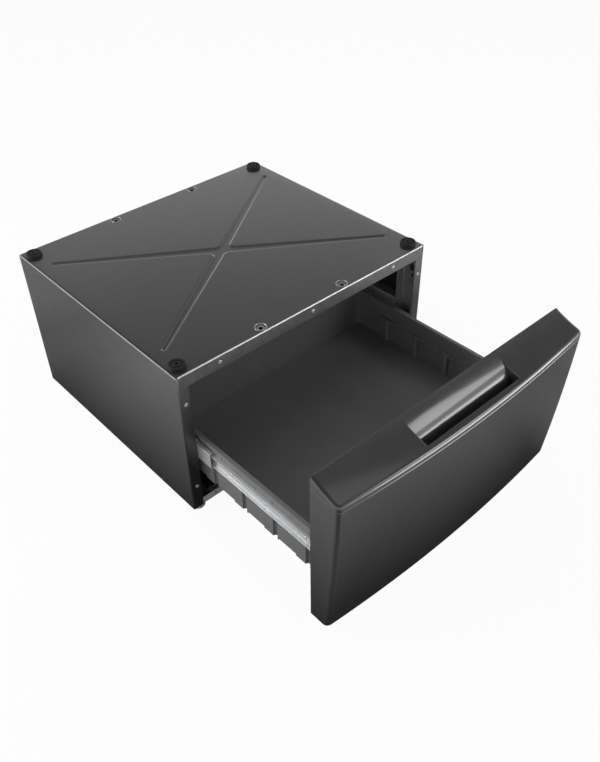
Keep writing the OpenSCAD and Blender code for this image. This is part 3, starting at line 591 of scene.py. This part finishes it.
def pocket_curve():
    """The pocket from its rolled back edge to the lip, without its first and last points."""
    lean = cap_lean(PULL_BACK)
    slopes = [lean + (PULL_STEEP - lean) * ((i + 0.5) / ROLL_STEPS) ** 1.6 for i in range(ROLL_STEPS)]
    stride = (cap_top(PULL_BACK) - PULL_FLOOR - 3.6) / sum(sin(slope) for slope in slopes)
    curve = [(PULL_BACK, cap_top(PULL_BACK))]
    for slope in slopes:
        curve.append((curve[-1][0] + stride * cos(slope), curve[-1][1] - stride * sin(slope)))
    curve = curve[1:]
    foot = curve[-1]
    rim = cap_top(PULL_FRONT)
    return curve + [(foot[0] + 1.4, foot[1] - 1.8), (foot[0] + 3.2, foot[1] - 3.1),
                    (foot[0] + 5.4, PULL_FLOOR), (PULL_FRONT - 4.4, PULL_FLOOR),
                    (PULL_FRONT - 1.8, PULL_FLOOR + 0.9), (PULL_FRONT - 0.4, PULL_FLOOR + 2.8),
                    (PULL_FRONT, PULL_FLOOR + 5.4), (PULL_FRONT, rim - 8),
                    (PULL_FRONT, rim - 1.6), (PULL_FRONT + 0.4, rim - 0.7)]


def cap_column(x, pocket=False):
    edge = cap_edge(x)
    top = cap_shares(x, edge)
    if pocket:
        side = cap_shares(PULL_HALF, cap_edge(PULL_HALF))
        top = top[:POCKET_FROM] + [side[POCKET_FROM]] + pocket_curve() + [side[-1]]
    ridge = cap_top(0, x)
    back = [(0, CAP_BASE), (0, CAP_LOW), (0, ridge - 1.6), (0.4, ridge - 0.7)]
    return [(x, -d, z) for d, z in back + top + edge]


def pocket_end(bm, side):
    """An end wall of the pocket, rounded over at its rim where the pocket is deep enough."""
    line = [(PULL_BACK, cap_top(PULL_BACK))]
    line += [(d, z) for d, z in pocket_curve() if d < PULL_FRONT - 0.1]
    line += [(PULL_FRONT + 0.2, PULL_FLOOR + 4)]
    rounds = [min(PULL_END_R, 0.7 * (cap_top(d) - z)) for d, z in line]
    rows = [[(side * (PULL_HALF - r * sin(radians(a))), -d, cap_top(d) - r + r * cos(radians(a)))
             for (d, z), r in zip(line, rounds)] for a in (0, 22.5, 45, 67.5, 90)]
    rows.append([(side * (PULL_HALF - r), -d, min(z, cap_top(d) - r) - 0.3)
                 for (d, z), r in zip(line, rounds)])
    sheet(bm, rows)


def front_cap():
    bm = bmesh.new()
    corner = [CORNER_X + EDGE_R * sin(radians(t)) for t in (0, 15, 30, 45, 60, 72, 82, 87, 90)]
    plain = [PULL_HALF + (CORNER_X - PULL_HALF) * i / 12 for i in range(12)] + corner
    sheet(bm, [cap_column(x) for x in plain])
    sheet(bm, [cap_column(-x) for x in plain])
    sheet(bm, [cap_column(PULL_HALF * (i / 14 - 1), True) for i in range(29)])
    for side in (-1, 1):
        pocket_end(bm, side)
        # the cap's own end
        end = [bm.verts.new((side * FRONT_HALF, y, z)) for _, y, z in cap_column(FRONT_HALF)]
        bmesh.ops.contextual_create(bm, geom=end)
    obj = piece("front_cap_skin", bm, "drawer", [front_paint], outward=(0, 0, 1),
                drawer=True, sharp=30)
    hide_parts("front_cap")
    # the neck in the shadow gap, in a darker enamel that paints shade into the seam
    bm = bmesh.new()
    sheet(bm, [front_row(lambda d: seam(d) - 0.1, 3.0, 3.0),
               front_row(lambda d: seam(d) + SEAM + 0.1, 3.0, 3.0)])
    piece("front_cap_neck", bm, "drawer", [seam_shade_paint], outward=(0, -1, 0),
          drawer=True)


front_cap()

# ---------------------------------------------------------------- pads, feet, screws

FOOT_DROP = 25.0
SCREW_DROP = 15.0
FLANGE_SCREW_X = (-241, 0, 241)
SIDE_SCREW_X = (-328, 328)
SIDE_SCREW_Z = (63, 287)
RUNNER_SCREW_X, RUNNER_SCREW_Z = 306, 154
RUNNER_SCREW_Y = (45, 255, 464)
TRAY_SCREW_X = (-244.8, 0, 244.8)
TRAY_SCREW_Y = 2.5
TRAY_SCREW_Z = (100, 156)


def corners(x, y):
    """The four places that lie x from the middle and y in from the cabinet's front or back."""
    return {"front_left": (-x, y), "front_right": (x, y),
            "back_left": (-x, CABINET_D - y), "back_right": (x, CABINET_D - y)}


PAD_PLACES = corners(319, 28)
FOOT_PLACES = corners(316, 27)


def pads():
    profile = [(0.0, 4.6), (2.6, 4.6), (3.3, 5.2), (3.5, 7.2), (4.2, 7.9), (7.6, 8.0), (8.1, 7.6),
               (8.3, 6.5), (10.7, 6.5), (10.9, 7.5), (11.4, 7.8), (13.4, 7.8), (13.8, 7.3), (14.2, 7.3),
               (14.6, 7.7), (16.2, 7.6), (16.9, 6.9), (17.2, 5.4), (17.3, 2.6), (17.9, 2.2), (18.0, 1.4),
               (18.0, 0.0)]
    for place, (x, y) in PAD_PLACES.items():
        bm = bmesh.new()
        lathe(bm, profile, 64, (x, y, CABINET_H))
        # shallow ribs across the rim
        for face in bm.faces:
            middle = face.calc_center_median()
            out = hypot(middle.x - x, middle.y - y)
            turn = atan2(middle.y - y, middle.x - x)
            if 11.0 < out < 13.6 and int(turn / (2 * pi / 32) + 64) % 2:
                for vert in face.verts:
                    if vert.co.z > CABINET_H + 7.7:
                        vert.co.z = CABINET_H + 7.1
        obj = piece("pad_" + place + "_ribbed", bm, "cabinet", [rubber],
                    outward=(0, 0, 1))
        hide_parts("pad_" + place)


pads()


def feet():
    drop = -FOOT_DROP
    base = [(0, 0), (13.2, 0), (14.2, 0.5), (14.8, 1.4), (15.6, 2.4), (16, 3.4), (16, 6.4), (15.6, 7.2),
            (14.6, 8.1), (12.4, 9.6), (11.6, 10), (0, 10)]
    for place, (x, y) in FOOT_PLACES.items():
        bm = bmesh.new()
        lathe(bm, base, 56, (x, y, drop))
        made = set(bm.faces)
        bmesh.ops.create_cone(bm, cap_ends=True, segments=6, radius1=11, radius2=11, depth=6,
                              matrix=Matrix.Translation((x, y, drop + 13)))
        hexagon = [f for f in bm.faces if f not in made]
        rim = {e for f in hexagon for e in f.edges if abs(f.normal.z) > 0.9}
        bmesh.ops.bevel(bm, geom=list(rim), offset=0.7, segments=2, profile=0.5, material=-1,
                        affect="EDGES", clamp_overlap=True)
        # thread: rings of crests and roots
        thread = [(0.0, 16.0)]
        height = 16.0
        while height < 59.0:
            thread += [(4.5, height + 0.1), (5.0, height + 0.55), (5.0, height + 0.75)]
            height += 1.5
        thread += [(4.4, 59.6), (3.8, 60.0), (0.0, 60.0)]
        lathe(bm, thread, 20, (x, y, drop))
        for face in bm.faces:
            if face not in made:
                face.material_index = 1
        obj = piece("foot_" + place + "_turned", bm, "foot_" + place, [foot_steel, zinc])
        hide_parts("foot_" + place)


feet()


def screw_head(bm, place, out, radius=4.0, height=2.0):
    """Pan head with a cross recess, standing on a face whose normal is out."""
    made = set(bm.verts)
    flat = radius * 0.62
    arm, slot = radius * 0.5, radius * 0.13
    rim = loop(bm, circle((0, 0), flat, height, 24))
    plus = [(arm, -slot), (arm, slot), (slot, slot), (slot, arm), (-slot, arm), (-slot, slot),
            (-arm, slot), (-arm, -slot), (-slot, -slot), (-slot, -arm), (slot, -arm), (slot, -slot)]
    mouth = loop(bm, [(x, y, height) for x, y in plus])
    bmesh.ops.triangle_fill(bm, use_beauty=True, edges=rim + mouth, normal=(0, 0, 1))
    bottom = loop(bm, [(x * 0.72, y * 0.72, height * 0.25) for x, y in plus])
    bmesh.ops.bridge_loops(bm, edges=mouth + bottom)
    bmesh.ops.triangle_fill(bm, use_beauty=True, edges=bottom, normal=(0, 0, 1))
    rings = [rim]
    for r, z in ((0.80, 0.93), (0.93, 0.75), (1.0, 0.45), (1.0, 0.0)):
        rings.append(loop(bm, circle((0, 0), radius * r, height * z, 24)))
    funnel(bm, rings)
    verts = [v for v in bm.verts if v not in made]
    turn = Vector((0, 0, 1)).rotation_difference(Vector(out)).to_matrix().to_4x4()
    bmesh.ops.transform(bm, matrix=Matrix.Translation(place) @ turn, verts=verts)


def screws():
    bm = bmesh.new()
    for end, out in ((0.0, (0, -1, 0)), (CABINET_D, (0, 1, 0))):
        for x in FLANGE_SCREW_X:
            screw_head(bm, (x, end, CABINET_H - SCREW_DROP), out)
        for x in SIDE_SCREW_X:
            for z in SIDE_SCREW_Z:
                screw_head(bm, (x, end, z), out)
    obj = piece("cabinet_screw_heads", bm, "cabinet", [zinc])
    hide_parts("cabinet_screws")
    bm = bmesh.new()
    for side in (-1, 1):
        for y in RUNNER_SCREW_Y:
            screw_head(bm, (side * RUNNER_SCREW_X, y, RUNNER_SCREW_Z), (side, 0, 0))
    obj = piece("runner_screw_heads", bm, "drawer", [zinc], drawer=True)
    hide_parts("runner_screws")
    bm = bmesh.new()
    for x in TRAY_SCREW_X:
        for z in TRAY_SCREW_Z:
            screw_head(bm, (x, TRAY_SCREW_Y, z), (0, 1, 0))
    obj = piece("tray_screw_heads", bm, "drawer", [zinc], drawer=True)
    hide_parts("tray_screws")


screws()

# ---------------------------------------------------------------- frame pieces that stay

FINISHES = {
    "side_panel": body_paint_and_sheen, "back_panel": body_paint_and_sheen, "deck_rail": galvanised, "post": galvanised,
    "base_rail": rail_steel, "corner_plates": galvanised, "foot_nuts": zinc, "lock_nuts": zinc,
    "slide_bracket": galvanised, "cabinet_member": zinc, "middle_member": zinc, "drawer_member": zinc,
    "outer_cage": zinc, "inner_cage": zinc, "outer_balls": zinc, "inner_balls": zinc,
    "tray": tray_plastic, "drawer_front_back": front_paint,
}
SOFT_EDGES = {"side_panel": 0.3, "back_panel": 0.3, "post": 0.4, "base_rail": 0.4, "slide_bracket": 0.3,
              "cabinet_member": 0.3, "middle_member": 0.3, "drawer_member": 0.35, "tray": 0.8,
              "drawer_front_back": 0.3}

for name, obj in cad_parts.items():
    for start, material in FINISHES.items():
        if name == start or name.startswith(start + "_"):
            obj.data.materials.clear()
            obj.data.materials.append(material)
            width = SOFT_EDGES.get(start)
            if width:
                weld = obj.modifiers.new("weld", "WELD")
                weld.merge_threshold = 0.00001
                soften(obj, width)

# ---------------------------------------------------------------- floor, light, camera


# Painted shade: for all rays but the camera's, the floor's colour is darker round the stand, and in three
# patches further off, so it reflects and bounces less there.
# Each zone: its centre, its half size, and how far past its edge it starts and stops fading, in metres.
PAINTED_SHADE_ZONES = [((0, 0), (0.34, 0.51), 0.0, 0.4), ((-0.66, -0.80), (0.12, 0.10), 0.0, 0.25),
             ((-0.56, 0.97), (0.15, 0.25), -0.12, 0.35), ((0.78, -0.65), (0.15, 0.12), -0.12, 0.35)]
# what the studio's walls and ceiling show to the part, from level upwards
WORLD_LEVELS = [(0.0, 1.0), (0.12, 0.9), (0.25, 0.5), (0.45, 0.4), (0.55, 0.22), (0.68, 0.09), (1.0, 0.07)]
WORLD_STRENGTH = 1.9
# share of the seen floor that glows white by itself; the rest carries the stand's shadow
GLOW_SHARE = 0.95


def nearness(tree, centre, half, from_edge, to_edge):
    """0 within a rectangle of the floor and 1 away from it, from object coordinates in metres."""
    def vectors(operation, one, other=(0, 0, 0)):
        node = tree.nodes.new("ShaderNodeVectorMath")
        node.operation = operation
        node.inputs[1].default_value = other
        tree.links.new(one, node.inputs[0])
        return node.outputs["Value" if operation == "LENGTH" else "Vector"]

    place = tree.nodes.new("ShaderNodeTexCoord").outputs["Object"]
    size = vectors("ABSOLUTE", vectors("SUBTRACT", place, (*centre, 0)))
    outside = vectors("MAXIMUM", vectors("SUBTRACT", size, (*half, 0)))
    step = tree.nodes.new("ShaderNodeMapRange")
    step.inputs["From Min"].default_value = from_edge
    step.inputs["From Max"].default_value = to_edge
    tree.links.new(vectors("LENGTH", outside), step.inputs["Value"])
    return step.outputs["Result"]


def split_rays(tree, lit, seen, into):
    """One shader for the camera, and another for all other rays."""
    rays = tree.nodes.new("ShaderNodeLightPath")
    mix = tree.nodes.new("ShaderNodeMixShader")
    tree.links.new(rays.outputs["Is Camera Ray"], mix.inputs[0])
    tree.links.new(lit, mix.inputs[1])
    tree.links.new(seen, mix.inputs[2])
    tree.links.new(mix.outputs[0], into)


def studio_floor():
    bpy.ops.mesh.primitive_plane_add(size=12, location=(0, 0, 0))
    floor = bpy.context.object
    floor.name = "studio_floor"
    material = bpy.data.materials.new("studio_floor")
    material.use_nodes = True
    tree = material.node_tree
    base = tree.nodes["Principled BSDF"]
    base.inputs["Roughness"].default_value = 0.9
    base.inputs["Specular IOR Level"].default_value = 0.1
    # painted shade in the floor's colour round the stand and in the patches
    light = nearness(tree, *PAINTED_SHADE_ZONES[0])
    for zone in PAINTED_SHADE_ZONES[1:]:
        light = maths(tree, "MULTIPLY", light, nearness(tree, *zone))
    tree.links.new(ramp(tree, light, [(0.0, grey(0.06)), (1.0, grey(1.0))]), base.inputs["Base Color"])
    # to the camera it is white, with the stand's shadow, and dark under the cabinet, where it has a painted
    # shade: a near-black paper colour and no glow
    away = nearness(tree, (0, FRONT_Y + CABINET_D / 2 * MM), (0.318, 0.272), 0.0, 0.006)
    paper_with_painted_shade = tree.nodes.new("ShaderNodeBsdfDiffuse")
    tree.links.new(ramp(tree, away, [(0.0, grey(0.02)), (1.0, grey(0.85))]), paper_with_painted_shade.inputs["Color"])
    white = tree.nodes.new("ShaderNodeEmission")
    white.inputs["Strength"].default_value = 1.0
    seen = tree.nodes.new("ShaderNodeMixShader")
    tree.links.new(maths(tree, "MULTIPLY", away, GLOW_SHARE), seen.inputs[0])
    tree.links.new(paper_with_painted_shade.outputs[0], seen.inputs[1])
    tree.links.new(white.outputs[0], seen.inputs[2])
    split_rays(tree, base.outputs[0], seen.outputs[0], tree.nodes["Material Output"].inputs["Surface"])
    floor.data.materials.append(material)


def studio_world():
    world = bpy.data.worlds.new("studio")
    world.use_nodes = True
    bpy.context.scene.world = world
    tree = world.node_tree
    soft = tree.nodes["Background"]
    coords = tree.nodes.new("ShaderNodeTexCoord")
    axes = tree.nodes.new("ShaderNodeSeparateXYZ")
    tree.links.new(coords.outputs["Generated"], axes.inputs["Vector"])
    shade = ramp(tree, axes.outputs["Z"], [(place, grey(level)) for place, level in WORLD_LEVELS])
    tree.links.new(shade, soft.inputs["Color"])
    soft.inputs["Strength"].default_value = WORLD_STRENGTH
    clear = tree.nodes.new("ShaderNodeBackground")
    clear.inputs["Strength"].default_value = 1.0
    split_rays(tree, soft.outputs[0], clear.outputs[0], tree.nodes["World Output"].inputs["Surface"])


def lamp(name, place, target, size, power):
    """A soft box at a place, turned to a target."""
    data = bpy.data.lights.new(name, "AREA")
    data.shape = "RECTANGLE"
    data.size, data.size_y = size
    data.energy = power
    obj = bpy.data.objects.new(name, data)
    obj.location = place
    obj.rotation_euler = (Vector(target) - Vector(place)).to_track_quat("-Z", "Y").to_euler()
    bpy.context.scene.collection.objects.link(obj)
    return obj


studio_floor()
studio_world()
lamp("overhead", (0.2, 0.4, 2.6), (0, 0, 0.2), (2.6, 2.0), 11)
lamp("front_right", (1.6, -2.0, 2.2), (0, -0.3, 0.3), (1.0, 1.0), 15)
lamp("back_left", (-2.0, 1.4, 1.35), (0, 0.1, 0.3), (1.6, 0.9), 36)
# a card that only shows in highlights
card = lamp("low_card", (1.35, -2.2, 0.48), (0, -0.5, 0.36), (1.5, 1.1), 32)
card.visible_diffuse = False

CAMERA_TURN, CAMERA_TILT, CAMERA_ROLL = radians(-41.777), radians(40.167), radians(-1.036)
# from the middle of the cabinet's front at the panels' lower edge, in metres
CAMERA_PLACE = (-0.926901, -0.993576, 1.303093)
SENSOR_WIDTH = 36.0
LENS = 38.28652


def camera():
    turn, tilt, roll = CAMERA_TURN, CAMERA_TILT, CAMERA_ROLL
    back = Vector((sin(turn) * cos(tilt), -cos(turn) * cos(tilt), sin(tilt)))
    right = Vector((0, 0, 1)).cross(back).normalized()
    up = back.cross(right)
    across = cos(roll) * right + sin(roll) * up
    upright = -sin(roll) * right + cos(roll) * up
    place = Vector((CAMERA_PLACE[0], CAMERA_PLACE[1] + FRONT_Y, CAMERA_PLACE[2] + PANEL_Z))
    data = bpy.data.cameras.new("camera")
    data.sensor_width = SENSOR_WIDTH
    data.lens = LENS
    obj = bpy.data.objects.new("camera", data)
    obj.matrix_world = Matrix((
        (across.x, upright.x, back.x, place.x),
        (across.y, upright.y, back.y, place.y),
        (across.z, upright.z, back.z, place.z),
        (0, 0, 0, 1)))
    bpy.context.scene.collection.objects.link(obj)
    bpy.context.scene.camera = obj


camera()
bpy.context.scene.view_settings.view_transform = "Standard"
